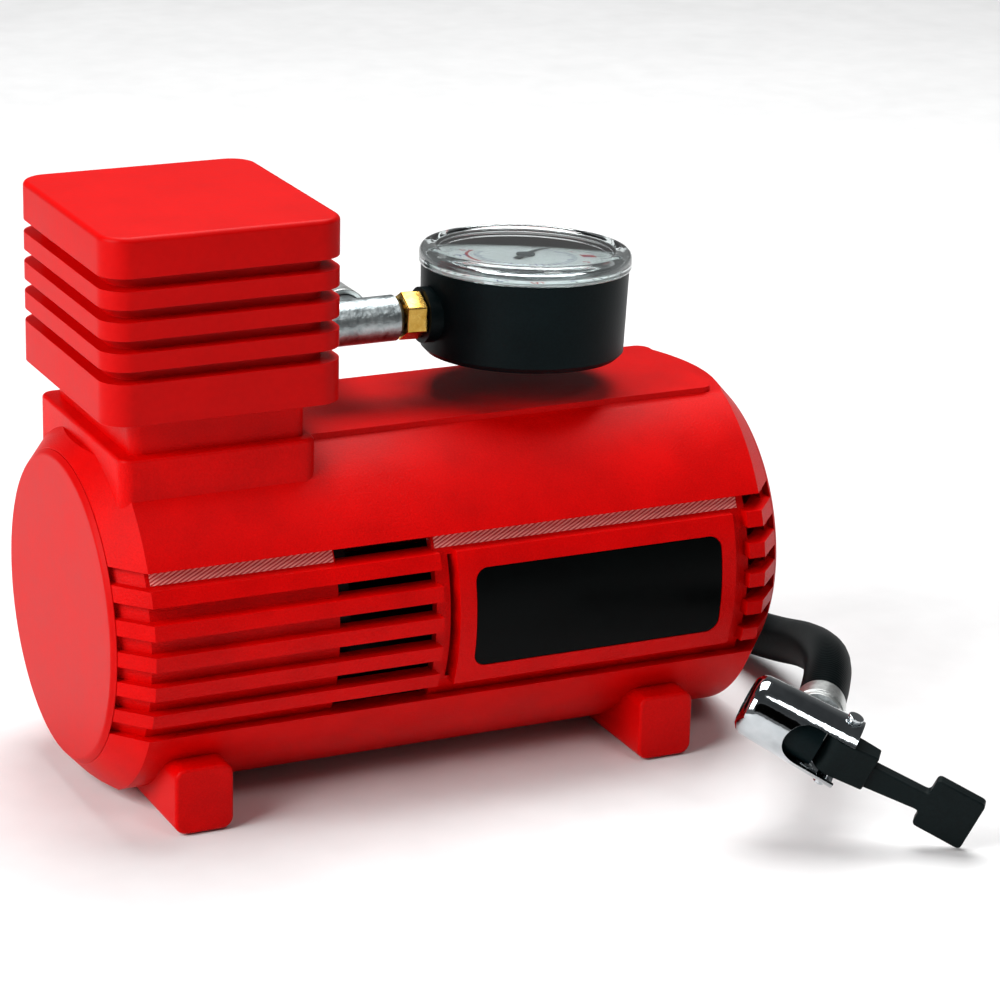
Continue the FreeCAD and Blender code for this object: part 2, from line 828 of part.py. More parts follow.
# ---------------------------------------------------------------- gears and crank
def involute_gear(teeth, module, bore, start, width, at_height, first_angle):
    """A spur gear with involute flanks, made of one outline per gear."""
    pitch = module * teeth / 2
    base = pitch * math.cos(math.radians(20))
    root = pitch - 1.05 * module
    tip = pitch + 0.8 * module
    backlash = 0.05
    half = math.pi / teeth / 2 - backlash / pitch

    def spread(radius):
        """How far the flank has turned in from the pitch circle at a radius."""
        if radius <= base:
            return half + involute(pitch)
        return half + involute(pitch) - involute(radius)

    def involute(radius):
        pressure = math.acos(base / radius)
        return math.tan(pressure) - pressure

    def at(radius, angle):
        return Vector(0, radius * math.sin(angle), radius * math.cos(angle))

    lowest = max(base, root)
    flank = [lowest + (tip - lowest) * step / 4 for step in range(5)]
    edges = []
    for tooth in range(teeth):
        middle = first_angle + 2 * math.pi * tooth / teeth
        rising = [at(radius, middle - spread(radius)) for radius in flank]
        falling = [at(radius, middle + spread(radius)) for radius in reversed(flank)]
        next_start = at(root, middle + 2 * math.pi / teeth - spread(root))
        foot_start, foot_end = at(root, middle - spread(root)), at(root, middle + spread(root))
        for points in (rising, falling):
            curve = Part.BSplineCurve()
            curve.interpolate(points)
            edges.append(curve.toShape())
        edges.append(Part.Arc(rising[-1], at(tip, middle), falling[0]).toShape())
        if (foot_start - rising[0]).Length > 1e-6:
            edges.append(Part.LineSegment(foot_start, rising[0]).toShape())
            edges.append(Part.LineSegment(falling[-1], foot_end).toShape())
        edges.append(Part.Arc(foot_end, at(root, middle + math.pi / teeth), next_start).toShape())
    outline = Part.Wire(Part.__sortEdges__(edges))
    solid = Part.Face(outline).extrude(Vector(width, 0, 0))
    solid = solid.cut(Part.makeCylinder(bore, width + 2, Vector(-1, 0, 0), Vector(1, 0, 0)))
    solid.translate(Vector(start, 0, at_height))
    return solid


def feature(name, shape):
    made = doc.addObject("Part::Feature", name)
    made.Shape = shape
    return made


tooth_module = number("gear_module")
gear_teeth, pinion_teeth = int(number("gear_teeth")), int(number("pinion_teeth"))
gear_shape = involute_gear(
    gear_teeth,
    tooth_module,
    number("axle_radius + running_gap"),
    number("gear_left"),
    number("gear_width"),
    number(gear_height),
    math.pi + math.pi / gear_teeth,
)
keep("drive_gear", feature("gear", gear_shape))
pinion_shape = involute_gear(
    pinion_teeth,
    tooth_module,
    number("shaft_radius"),
    number("gear_left + 1"),
    number("gear_width + 1"),
    number("motor_height"),
    0,
)
keep("motor_pinion", feature("pinion", pinion_shape))

crank_start = "(gear_left - 2.5)"
crank_axis = ("0", "0", gear_height)
crank_plate = turned(
    "crank_plate",
    [
        ("axle_radius + running_gap", crank_start),
        ("10.5", crank_start),
        ("10.5", "gear_left"),
        ("axle_radius + running_gap", "gear_left"),
    ],
    crank_axis,
    along_x,
)
weight = turned(
    "weight_ring",
    [("8", crank_start), ("13.5", crank_start), ("13.5", "gear_left"), ("8", "gear_left")],
    crank_axis,
    along_x,
)
weight_z = (f"{gear_height} - 20", f"{gear_height} - 3")
weight_zone = block("weight_zone", everywhere, both_ways("20"), weight_z)
pin_height = f"({gear_height} + crank_radius)"
keep(
    "crank_disc",
    cut(
        "crank",
        fused("crank_blank", crank_plate, shared("weight", weight, weight_zone)),
        rod("pin_way", "crank_pin_radius", "4", (f"{crank_start} - 0.5", "0", pin_height), along_x),
    ),
)
bearing_end = "(cylinder_place + bearing_width / 2)"
# The pin stops short of the bearing, so that the crank and the piston move apart.
pin_end = f"({bearing_end} + open_pivot_gap)"
pin_at = (pin_end, "0", pin_height)
keep("crank_pin", rod("pin", "crank_pin_radius", f"gear_left - {pin_end}", pin_at, along_x))
bearing_start = "(cylinder_place - bearing_width / 2)"


def ring(name, inner, outer, start, end, at, turn=along_x):
    return turned(name, [(inner, start), (outer, start), (outer, end), (inner, end)], at, turn)


big_end = ("0", "0", pin_height)
bearing = ring("bearing", "crank_pin_radius", "bearing_radius", bearing_start, bearing_end, big_end)
keep("crank_bearing", bearing)
sleeve_bottom = "(deck_bottom + deck_thickness)"
sleeve_top = f"({sleeve_bottom} + sleeve_height)"
piston_top = f"({sleeve_top} - 0.5)"
piston_bottom = f"({piston_top} - piston_height)"
big_end_ring = ring(
    "big_end_ring", "bearing_radius", "bearing_radius + 2", bearing_start, bearing_end, big_end
)
shank = block(
    "shank",
    ("cylinder_place - 2.2", "cylinder_place + 2.2"),
    both_ways("3.6"),
    (f"{pin_height} + bearing_radius + 0.8", piston_bottom),
)
rod_flange = rod("rod_flange", "7", "1.6", (*hub, f"{piston_bottom} - 1.6"))
keep("connecting_rod", fused("rod_body", big_end_ring, shank, rod_flange))

piston = [
    ("0", "0"),
    ("bore_radius - 0.4", "0"),
    ("bore_radius - 0.4", "1.6"),
    ("bore_radius - 2", "1.6"),
    ("bore_radius - 2", "3.6"),
    ("bore_radius - 0.6", "3.6"),
    ("bore_radius - 0.6", "piston_height"),
    ("0", "piston_height"),
]
piston_screw_radius = "1.5"
keep(
    "piston",
    cut(
        "piston_blank",
        turned("piston_turned", piston, (*hub, piston_bottom)),
        rod("piston_screw_way", piston_screw_radius, "20", (*hub, f"{piston_bottom} - 1")),
        rod("piston_screw_seat", "3", "3", (*hub, f"{piston_top} - 1.6")),
    ),
)
piston_seal = [
    ("bore_radius - 1.9", "1.65"),
    ("bore_radius - running_gap", "1.65"),
    ("bore_radius - running_gap", "3.55"),
    ("bore_radius - 1.9", "3.55"),
]
keep("piston_seal", turned("seal_ring", piston_seal, (*hub, piston_bottom)))
piston_screw = [
    ("0", "0"),
    (piston_screw_radius, "0"),
    (piston_screw_radius, "3.9"),
    ("2.8", "3.9"),
    ("2.8", "5.3"),
    ("0", "5.3"),
]
keep("piston_screw", turned("piston_screw_turned", piston_screw, (*hub, piston_bottom)))

# ---------------------------------------------------------------- cylinder and head
sleeve = [
    ("bore_radius", "0"),
    ("bore_radius + sleeve_wall + 2", "0"),
    ("bore_radius + sleeve_wall + 2", "2"),
    ("bore_radius + sleeve_wall", "2"),
]
for index in range(3):
    low = f"5.5 + {index} * 5"
    sleeve += [("bore_radius + sleeve_wall", low), ("cooling_fin_radius", low)]
    sleeve += [("cooling_fin_radius", f"{low} + 1.6"), ("bore_radius + sleeve_wall", f"{low} + 1.6")]
sleeve += [("bore_radius + sleeve_wall", "sleeve_height"), ("bore_radius", "sleeve_height")]
keep("cylinder_sleeve", turned("sleeve", sleeve, (*hub, sleeve_bottom)))

plate_top = f"({sleeve_top} + valve_plate_thickness)"
block_top = f"({plate_top} + head_block_height)"
block_x = ("cylinder_place - head_block_half", "cylinder_place + head_block_half")
block_y = both_ways("head_block_half")
keep(
    "valve_plate",
    cut(
        "valve_plate_blank",
        block("valve_plate_block", block_x, block_y, (sleeve_top, plate_top)),
        rod("outlet_hole", "1.5", "6", ("cylinder_place + 4", "0", f"{sleeve_top} - 1")),
        *head_bolts("plate_bolt_way", bolt_gap, (f"{sleeve_top} - 1", f"{plate_top} + 1")),
    ),
)
reed_x = ("cylinder_place - 5", "cylinder_place + 7")
keep("outlet_reed", block("reed", reed_x, both_ways("2.6"), (plate_top, f"{plate_top} + 0.2")))
port_end = "(cylinder_place + head_block_half)"
head_fins = []
for index in range(3):
    place = f"cylinder_place - 8 + {index} * 8"
    z = (block_top, f"{block_top} + 5")
    head_fins.append(block(f"head_fin_{index}", (f"{place} - 0.9", f"{place} + 0.9"), both_ways("8"), z))
head_block = block("head_block", block_x, block_y, (plate_top, block_top))
keep(
    "cylinder_head",
    cut(
        "cylinder_head_cut",
        fused("cylinder_head_blank", head_block, *head_fins),
        rod("chamber", "8.4", "7", (*hub, f"{plate_top} - 0.5")),
        rod("port", "spigot_radius + running_gap", "6", (f"{port_end} - 5", "0", "outlet_height"), along_x),
        rod("port_way", "2", "12", (f"{port_end} - 12", "0", "outlet_height"), along_x),
        *head_bolts("head_bolt_way", bolt_gap, (f"{plate_top} - 1", f"{block_top} + 1")),
    ),
)
head_screws = []
for across in (-1, 1):
    for along in (-1, 1):
        profile = [
            ("0", "deck_bottom - 2"),
            ("head_screw_radius", "deck_bottom - 2"),
            ("head_screw_radius", block_top),
            ("3.4", block_top),
            ("3.4", f"{block_top} + 3"),
            ("0", f"{block_top} + 3"),
        ]
        at = (f"cylinder_place + {along} * head_screw_place", f"{across} * head_screw_place", "0")
        head_screws.append(turned(f"head_screw_{along}_{across}", profile, at))
keep("head_screws", group("head_screw_set", *head_screws))

# ---------------------------------------------------------------- outlet and its fittings
outlet_axis = ("0", "0", "outlet_height")
outlet = [
    ("0", f"{port_end} - 4.8"),
    ("spigot_radius", f"{port_end} - 4.8"),
    ("spigot_radius", f"{port_end} + 0.1"),
    ("tube_radius", f"{port_end} + 0.1"),
    ("tube_radius", "tube_end - 1"),
    ("tube_radius - 0.9", "tube_end"),
    ("0", "tube_end"),
]
branch_at = ("branch_place", "0", "outlet_height")
keep(
    "outlet_manifold",
    cut(
        "manifold",
        fused(
            "manifold_blank",
            turned("outlet_tube", outlet, outlet_axis, along_x),
            rod("branch", "branch_radius", "branch_reach", branch_at, along_y),
        ),
        rod("outlet_bore", "2", "40", (f"{port_end} - 6", "0", "outlet_height"), along_x),
        rod("stem_bore", "3.5", "8", ("tube_end - 7", "0", "outlet_height"), along_x),
        rod("branch_bore", "1.6", "20", branch_at, along_y),
    ),
)
grommet_ring = [
    ("tube_radius + 0.05", "head_right - 4.8"),
    ("tube_radius + 1.5", "head_right - 4.8"),
    ("tube_radius + 1.5", "head_right"),
    ("tube_radius + 1", "head_right + 1.4"),
    ("tube_radius + 0.05", "head_right + 1.4"),
]
keep("outlet_grommet", turned("grommet_ring", grommet_ring, outlet_axis, along_x))
ferrule = [
    ("branch_radius + 0.1", "ferrule_start"),
    ("ferrule_radius", "ferrule_start"),
    ("ferrule_radius", "ferrule_end - 0.8"),
    ("ferrule_radius - 0.5", "ferrule_end"),
    ("2.2", "ferrule_end"),
    ("2.2", "branch_reach + 0.1"),
    ("branch_radius + 0.1", "branch_reach + 0.1"),
]
keep("outlet_ferrule", turned("outlet_crimp", ferrule, branch_at, along_y))

# ---------------------------------------------------------------- pressure gauge
gauge_at = ("gauge_place", "0", "gauge_height")
lean = Rotation(Vector(-1, 1, 0), number("gauge_lean"))
stem_height = "(-stem_drop)"


def in_gauge(label, thing):
    return keep(label, placed(thing, gauge_at, lean))


case_inner = "(gauge_radius - gauge_wall)"
case = [
    ("0", "-gauge_depth"),
    ("gauge_radius - gauge_taper - 1.2", "-gauge_depth"),
    ("gauge_radius - gauge_taper", "-gauge_depth + 1.2"),
    ("gauge_radius", "0"),
    (case_inner, "0"),
    (f"{case_inner} - gauge_taper", "-gauge_depth + gauge_wall"),
    ("0", "-gauge_depth + gauge_wall"),
]
boss_start = "(-gauge_radius - 2)"
case_boss = cut(
    "case_boss",
    rod("case_boss_rod", "6.2", "5", (boss_start, "0", stem_height), along_x),
    rod("case_boss_trim", f"{case_inner} - 0.2", "30", ("0", "0", "-25")),
)
stem_way = rod("stem_way", "3", "12", (f"{boss_start} - 1", "0", stem_height), along_x)
in_gauge("gauge_case", cut("case", fused("case_blank", turned("case_cup", case), case_boss), stem_way))

lens = [
    ("0", "lens_height - 1.8"),
    ("lens_radius - 1.7", "lens_height - 1.8"),
    ("lens_radius - 1.7", "0"),
    ("lens_radius", "0"),
    ("lens_radius", "lens_height - 1.2"),
    ("lens_radius - 1.2", "lens_height"),
    ("0", "lens_height"),
]
keep("gauge_lens", turned("lens", lens, gauge_at, lean))
dial = [("1.2", "-1.2"), ("dial_radius", "-1.2"), ("dial_radius", "-0.6"), ("1.2", "-0.6")]
keep("gauge_dial", turned("dial", dial, gauge_at, lean))
pointer = prism(
    "pointer",
    "XY_Plane",
    [("-6", "-0.9"), ("needle_length", "-0.25"), ("needle_length", "0.25"), ("-6", "0.9")],
    "0.4",
    "0",
)
pointer.Placement.Rotation = Rotation(Vector(0, 0, 1), 45)
in_gauge("gauge_needle", fused("needle", pointer, rod("needle_hub", "2.2", "0.9", ("0", "0", "-0.2"))))
spindle = [("0", "-7"), ("0.8", "-7"), ("0.8", "-0.25"), ("0", "-0.25")]
keep("needle_spindle", turned("spindle", spindle, gauge_at, lean))
plate = block("movement_plate", ("-7", "7"), ("-5", "5"), ("-6.2", "-4.6"))
legs = []
for side in (-1, 1):
    leg_x = (f"{side} * 5.5 - 1", f"{side} * 5.5 + 1")
    legs.append(block(f"movement_leg_{side}", leg_x, ("-2", "2"), ("-17.8", "-6.2")))
spindle_way = rod("spindle_way", "0.8 + running_gap", "8", ("0", "0", "-9"))
in_gauge("gauge_movement", cut("movement", fused("movement_blank", plate, *legs), spindle_way))
bourdon = tied(doc.addObject("Part::Torus", "bourdon"), Radius1="14", Radius2="1.3")
bourdon.Angle3 = 260
placed(bourdon, ("0", "0", stem_height), Rotation(Vector(0, 0, 1), -175))
foot_z = (f"{stem_height} - 2.4", f"{stem_height} + 2.4")
tube_foot = block("tube_foot", ("-15.6", "-12.4"), ("-2.6", "2.2"), foot_z)
in_gauge("gauge_bourdon_tube", fused("bourdon_with_foot", bourdon, tube_foot))
hexagon = doc.addObject("Part::Prism", "hexagon")
hexagon.Polygon = 6
tied(hexagon, Circumradius="5.5", Height="4.8")
placed(hexagon, (f"{boss_start} - 4.9", "0", stem_height), along_x)
stem_inner = rod("stem_inner", "2.9", "9.5", (f"{boss_start} - 0.2", "0", stem_height), along_x)
stem_outer = rod("stem_outer", "2.8", "4", (f"{boss_start} - 8.6", "0", stem_height), along_x)
in_gauge("gauge_socket", fused("socket", hexagon, stem_inner, stem_outer))

# ---------------------------------------------------------------- chuck, in its own frame
# Its X runs from the closed end to the lever, Y to the hose and Z along the pin.
chuck_at = ("chuck_x", "chuck_y", "chuck_z")
chuck_turn = Rotation(number("chuck_yaw"), number("chuck_pitch"), number("chuck_roll"))


def on_chuck(label, thing):
    return keep(label, placed(thing, chuck_at, chuck_turn))


def chuck_turned(name, profile):
    return turned(name, profile, origin, along_x)


shell_front, shell_open = "shell_front_radius", "shell_open_radius"
shell_profile = [
    ("valve_radius + 0.4", "-2"),
    (f"{shell_front} - 1.8", "-1.9"),
    (f"{shell_front} - 0.7", "-1.1"),
    (f"{shell_front} - 0.15", "0"),
    (shell_front, "1.4"),
    (shell_open, "shell_length"),
    (f"{shell_open} - shell_wall", "shell_length"),
    (f"{shell_front} - shell_wall", "1.5"),
    (f"{shell_front} - 0.95", "0.2"),
    (f"{shell_front} - 1.3", "-0.5"),
    (f"{shell_front} - 2", "-1.1"),
    ("valve_radius + 0.4", "-1.2"),
]
slot_end = "shell_length + 1"
on_chuck(
    "chuck_shell",
    cut(
        "sleeve_shell",
        chuck_turned("sleeve_turned", shell_profile),
        rod("lever_slot_end", "5", "8", ("13.5", "-11", "0"), along_y),
        block("lever_slot", ("13.5", slot_end), ("-11", "-3"), both_ways("5")),
        rod("hose_slot_end", "neck_radius + 0.5", "8", ("neck_place - 1.8", "3", "0"), along_y),
        block("hose_slot", ("neck_place - 1.8", slot_end), ("3", "11"), both_ways("neck_radius + 0.5")),
        rod("pin_hole", "pin_radius", "22", ("pin_place", "0", "-11")),
    ),
)
on_chuck(
    "chuck_pin",
    fused(
        "pin_riveted",
        rod("pin_shank", "pin_radius", "17.4", ("pin_place", "0", "-8.9")),
        rod("pin_head", "pin_radius + 0.5", "0.8", ("pin_place", "0", "8.2")),
    ),
)
face_gap = "0.4"
body_end = f"(pin_place - cam_radius - {face_gap})"
body_profile = [
    ("valve_radius", "4.6"),
    ("5.9", "4.6"),
    ("5.9", body_end),
    ("0", body_end),
    ("0", f"{body_end} - 4"),
    ("valve_radius", f"{body_end} - 4"),
]
on_chuck(
    "chuck_body",
    fused(
        "chuck_body_joined",
        chuck_turned("chuck_body_turned", body_profile),
        rod("hose_neck", "neck_radius", "crimp_start - 5", ("neck_place", "5", "0"), along_y),
    ),
)
seal_bore = "valve_radius - 0.2"
seal = [(seal_bore, "0.6"), ("4.8", "0.6"), ("5.5", "1.7"), ("5.5", "4.6"), (seal_bore, "4.6")]
keep("chuck_seal", turned("seal", seal, chuck_at, chuck_turn.multiply(along_x)))
crimp_at = ("neck_place", "crimp_start", "0")
on_chuck(
    "chuck_ferrule",
    fused(
        "crimp",
        rod("crimp_sleeve", "crimp_radius", "crimp_end - crimp_start", crimp_at, along_y),
        rod("crimp_collar", "crimp_radius + 0.3", "2", ("neck_place", "crimp_start + 1.5", "0"), along_y),
    ),
)
hub_half = "4.3"
paddle_x = ("lever_neck_end - 0.5", "lever_end")
lever_parts = [
    rod("cam", "cam_radius", f"2 * {hub_half}", ("pin_place", "-cam_offset", f"-{hub_half}")),
    block("lever_hub", ("pin_place", "lever_hub_end"), ("-3.6", "2"), both_ways(hub_half)),
    block("lever_stem", ("lever_hub_end - 1", "lever_neck_end"), ("-2.4", "0.8"), both_ways("2.5")),
    block("lever_paddle", paddle_x, ("-2.4", "0.8"), both_ways("paddle_half_width")),
]
pin_gap_hole = rod("lever_pin_hole", "pin_radius + running_gap", "20", ("pin_place", "0", "-10"))
on_chuck("chuck_lever", cut("lever", fused("lever_blank", *lever_parts), pin_gap_hole))

# ---------------------------------------------------------------- hose
chuck_frame = Placement(Vector(*[number(text) for text in chuck_at]), chuck_turn)
neck_place, crimp_end = number("neck_place"), number("crimp_end")
hose_run_in = 20
route = [
    Vector(number("branch_place"), number("ferrule_end"), number("outlet_height")),
    Vector(-11, 48, 97.4),
    Vector(-14, 80, 78),
    Vector(-19, 108, 48),
    Vector(-20, 134, 19),
    Vector(-9, 166, 5.5),
    Vector(22, 191, 5.5),
    Vector(60, 190, 5.5),
    Vector(90, 166, 5.5),
    Vector(100, 130, 5.5),
    Vector(94, 92, 5.5),
    Vector(88, 56, 5.5),
    Vector(94, 26, 5.5),
    Vector(98, 0, 8),
    Vector(93, -28, 17),
    chuck_frame.multVec(Vector(neck_place, crimp_end + hose_run_in, 0)),
    chuck_frame.multVec(Vector(neck_place, crimp_end, 0)),
]


def hose_path(points):
    """Straight runs joined by tangent arcs, each as large as its two runs allow."""
    edges = []
    last = points[0]
    radii = []
    for before, corner, after in zip(points, points[1:], points[2:]):
        arriving = (corner - before).normalize()
        leaving = (after - corner).normalize()
        turn = arriving.getAngle(leaving)
        radius = 0.45 * min((corner - before).Length, (after - corner).Length) / math.tan(turn / 2)
        setback = radius * math.tan(turn / 2)
        start, end = corner - arriving * setback, corner + leaving * setback
        inward = (leaving - arriving).normalize()
        middle = corner + inward * (radius / math.cos(turn / 2) - radius)
        edges.append(Part.LineSegment(last, start).toShape())
        edges.append(Part.Arc(start, middle, end).toShape())
        last = end
        radii.append(radius)
    edges.append(Part.LineSegment(last, points[-1]).toShape())
    return Part.Wire(edges), radii


path, radii = hose_path(route)
hose_radius = number("hose_radius")
first_way = (route[1] - route[0]).normalize()
section = Part.Wire(Part.makeCircle(hose_radius, route[0], first_way))
hose = path.makePipeShell([section], True, False)
keep("air_hose", feature("hose", hose))
print("hose length", round(path.Length, 1), "radii", [round(radius) for radius in radii])
ratio = hose.Volume / (math.pi * hose_radius**2 * path.Length)
print("hose volume over section times length", round(ratio, 4))

# ---------------------------------------------------------------- check and export
doc.recompute()
for thing in doc.Objects:
    if "Invalid" in thing.State or "Error" in thing.State:
        raise ValueError(f"{thing.Label} failed: {thing.State}")
os.makedirs("parts", exist_ok=True)
for thing in kept:
    if thing.Shape.isNull() or not thing.Shape.isValid() or thing.Shape.Volume <= 0:
        raise ValueError(f"{thing.Label} has no valid solid")
    thing.Shape.exportStep(f"parts/{thing.Label}.step")
    print(thing.Label, len(thing.Shape.Solids), round(thing.Shape.Volume, 1))
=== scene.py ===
import json
import math

import bmesh
import bpy
from mathutils import Matrix, Vector


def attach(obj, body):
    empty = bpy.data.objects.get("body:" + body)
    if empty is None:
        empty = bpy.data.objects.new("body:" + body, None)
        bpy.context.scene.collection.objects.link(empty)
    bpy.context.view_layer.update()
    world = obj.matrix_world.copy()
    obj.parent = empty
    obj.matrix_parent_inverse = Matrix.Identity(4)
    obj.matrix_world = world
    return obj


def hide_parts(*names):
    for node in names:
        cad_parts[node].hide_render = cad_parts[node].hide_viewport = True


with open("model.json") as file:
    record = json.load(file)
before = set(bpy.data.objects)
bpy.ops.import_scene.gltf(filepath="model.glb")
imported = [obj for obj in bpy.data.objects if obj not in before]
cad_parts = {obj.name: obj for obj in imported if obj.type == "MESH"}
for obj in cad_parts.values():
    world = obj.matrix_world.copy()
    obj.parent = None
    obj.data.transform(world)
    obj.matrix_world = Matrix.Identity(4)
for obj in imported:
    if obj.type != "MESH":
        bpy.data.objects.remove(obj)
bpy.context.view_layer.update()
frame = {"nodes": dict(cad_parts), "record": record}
nodes = frame["nodes"]
nodeBody = {n: body for body, names in frame["record"]["behaviour"]["bodies"].items() for n in names}
mm = 0.001
print("frame loaded,", len(nodes), "nodes")

# camera
cameraSettings = {
    "place": (-0.32105, -0.72625, 0.32707),
    "turn": (71.1075, -1.3078, -25.0695),  # degrees
    "lens": 135.39,
    "sensor": 36.0,
}
cameraData = bpy.data.cameras.new("productCamera")
cameraData.lens = cameraSettings["lens"]
cameraData.sensor_width = cameraSettings["sensor"]
cameraData.clip_start = 0.01
camera = bpy.data.objects.new("productCamera", cameraData)
camera.location = cameraSettings["place"]
camera.rotation_euler = [math.radians(angle) for angle in cameraSettings["turn"]]
bpy.context.scene.collection.objects.link(camera)
bpy.context.scene.camera = camera


# materials
def linear(hexCode):
    channels = [int(hexCode[i : i + 2], 16) / 255 for i in (1, 3, 5)]
    return tuple(c / 12.92 if c <= 0.04045 else ((c + 0.055) / 1.055) ** 2.4 for c in channels) + (1.0,)


def addNode(tree, kind, values=None, links=None, **settings):
    node = tree.nodes.new(kind)
    for name, value in settings.items():
        setattr(node, name, value)
    for name, value in (values or {}).items():
        node.inputs[name].default_value = value
    for name, source in (links or {}).items():
        tree.links.new(source, node.inputs[name])
    return node


def startMaterial(name, sockets):
    material = bpy.data.materials.new(name)
    material.use_nodes = True
    shader = material.node_tree.nodes["Principled BSDF"]
    for socket, value in sockets.items():
        shader.inputs[socket].default_value = value
    return material, material.node_tree, shader


def perMm(size):
    return 1 / (size * mm)  # texture repeats in a metre for a pattern of that size


def waveScale(pitch):
    return perMm(pitch) * math.pi / 10  # at scale 1 one wave of the texture is pi / 10 long


def colourRamp(tree, source, colours, positions=(0.0, 1.0)):
    ramp = addNode(tree, "ShaderNodeValToRGB", links={"Fac": source})
    for stop, colour, position in zip(ramp.color_ramp.elements, colours, positions):
        stop.position, stop.color = position, linear(colour)
    return ramp.outputs["Color"]


def raised(tree, shader, height, depth):
    # bump of depth mm
    bump = addNode(tree, "ShaderNodeBump", {"Distance": depth * mm}, {"Height": height})
    tree.links.new(bump.outputs["Normal"], shader.inputs["Normal"])


mottle = {
    "fineDetail": 3.0,
    "fineRoughness": 0.6,
    "broadDetail": 2.0,
    "contrast": (0.35, 0.65),
    "span": (0.3, 0.7),
}


def surface(name, dark, light, grain, depth, rough, blotch=12, sockets=None):
    # colour drifts over blotch mm, and grain of that size in mm is raised by depth mm
    material, tree, shader = startMaterial(name, sockets or {})
    place = addNode(tree, "ShaderNodeTexCoord").outputs["Object"]
    fine = addNode(
        tree,
        "ShaderNodeTexNoise",
        {"Scale": perMm(grain), "Detail": mottle["fineDetail"], "Roughness": mottle["fineRoughness"]},
        {"Vector": place},
    ).outputs["Fac"]
    broad = addNode(
        tree,
        "ShaderNodeTexNoise",
        {"Scale": perMm(blotch), "Detail": mottle["broadDetail"]},
        {"Vector": place},
    ).outputs["Fac"]
    halfFine = addNode(tree, "ShaderNodeMath", {1: 0.5}, {0: fine}, operation="MULTIPLY").outputs[0]
    both = addNode(
        tree, "ShaderNodeMath", {1: 0.5}, {0: broad, 2: halfFine}, operation="MULTIPLY_ADD"
    ).outputs[0]
    if dark == light:
        shader.inputs["Base Color"].default_value = linear(dark)
    else:
        colour = colourRamp(tree, both, (dark, light), mottle["contrast"])
        tree.links.new(colour, shader.inputs["Base Color"])
    low, high = mottle["span"]
    roughness = addNode(
        tree,
        "ShaderNodeMapRange",
        {"From Min": low, "From Max": high, "To Min": rough[0], "To Max": rough[1]},
        {"Value": both},
    )
    tree.links.new(roughness.outputs["Result"], shader.inputs["Roughness"])
    raised(tree, shader, fine, depth)
    return material


metal = {"Metallic": 1.0}


def sparkTexturedAbs():
    # red ABS moulded in a spark-eroded tool: fine even grain that breaks the highlight into specks
    gloss = {"IOR": 1.54, "Specular IOR Level": 0.06}
    return surface("sparkTexturedAbs", "#ba0101", "#d40101", 0.4, 0.1, (0.36, 0.44), sockets=gloss)


def smoothAbs():
    # the same ABS from a polished tool: broad soft highlights, barely any grain
    gloss = {"IOR": 1.54, "Specular IOR Level": 0.07}
    return surface("smoothAbs", "#b80101", "#c20101", 1.4, 0.012, (0.4, 0.46), sockets=gloss)


def hatchedAbs():
    # ABS with fine moulded hatching: the light its ridges catch is a painted highlight, pale pink stripes in
    # the base colour
    # the real hatching is finer than this, and is drawn coarser so that it shows
    made = {"pitch": 0.62, "depth": 0.1, "slant": 24, "colours": ("#c01010", "#ffa49c")}
    material, tree, shader = startMaterial("hatchedAbs", {"Roughness": 0.42, "IOR": 1.54})
    place = addNode(tree, "ShaderNodeTexCoord").outputs["Object"]
    turned = addNode(
        tree, "ShaderNodeMapping", {"Rotation": (0, math.radians(made["slant"]), 0)}, {"Vector": place}
    )
    wave = addNode(
        tree,
        "ShaderNodeTexWave",
        {"Scale": waveScale(made["pitch"])},
        {"Vector": turned.outputs["Vector"]},
        bands_direction="Z",
    ).outputs["Fac"]
    # painted highlight: the stripes run from the red to a pale pink
    tree.links.new(colourRamp(tree, wave, made["colours"]), shader.inputs["Base Color"])
    raised(tree, shader, wave, made["depth"])
    return material


def blackAbs():
    # black ABS gauge case, lightly etched tool: satin with a cool cast
    gloss = {"IOR": 1.54, "Specular IOR Level": 0.06}
    return surface("blackAbs", "#030b0d", "#081416", 0.5, 0.02, (0.36, 0.46), sockets=gloss)


def glassFilledNylon():
    # black glass-filled nylon lever and hubs: dull, with a faint fibre haze
    gloss = {"IOR": 1.53, "Specular IOR Level": 0.08}
    return surface("glassFilledNylon", "#040b0c", "#0a1415", 0.7, 0.03, (0.42, 0.55), sockets=gloss)


def printedFilm():
    # black polyester label film, laminated: flat, deep black, with a soft gloss
    gloss = {"IOR": 1.57, "Specular IOR Level": 0.04}
    return surface("printedFilm", "#010202", "#020404", 3, 0.004, (0.3, 0.36), sockets=gloss)


def mouldedRubber():
    # black rubber grommets and seals: matt, slightly dusty
    gloss = {"IOR": 1.52, "Specular IOR Level": 0.2}
    return surface("mouldedRubber", "#040606", "#0c0f0f", 0.8, 0.03, (0.6, 0.75), sockets=gloss)


def extrudedRubber():
    # black rubber hose over a woven tube: fine ribs around it show through as soft rings
    made = {"rib": 1.1, "depth": 0.03, "length": 0.54, "blotch": 2.5, "colours": ("#010405", "#03090a")}
    gloss = {"IOR": 1.52, "Roughness": 0.46, "Specular IOR Level": 0.02}
    material, tree, shader = startMaterial("extrudedRubber", gloss)
    coordinates = addNode(tree, "ShaderNodeTexCoord")
    wave = addNode(
        tree,
        "ShaderNodeTexWave",
        {"Scale": made["length"] * waveScale(made["rib"]), "Distortion": 0.4, "Detail": 1.0},
        {"Vector": coordinates.outputs["UV"]},
        bands_direction="X",
    ).outputs["Fac"]
    noise = addNode(
        tree,
        "ShaderNodeTexNoise",
        {"Scale": perMm(made["blotch"]), "Detail": 3.0},
        {"Vector": coordinates.outputs["Object"]},
    ).outputs["Fac"]
    tree.links.new(colourRamp(tree, noise, made["colours"]), shader.inputs["Base Color"])
    raised(tree, shader, wave, made["depth"])
    return material


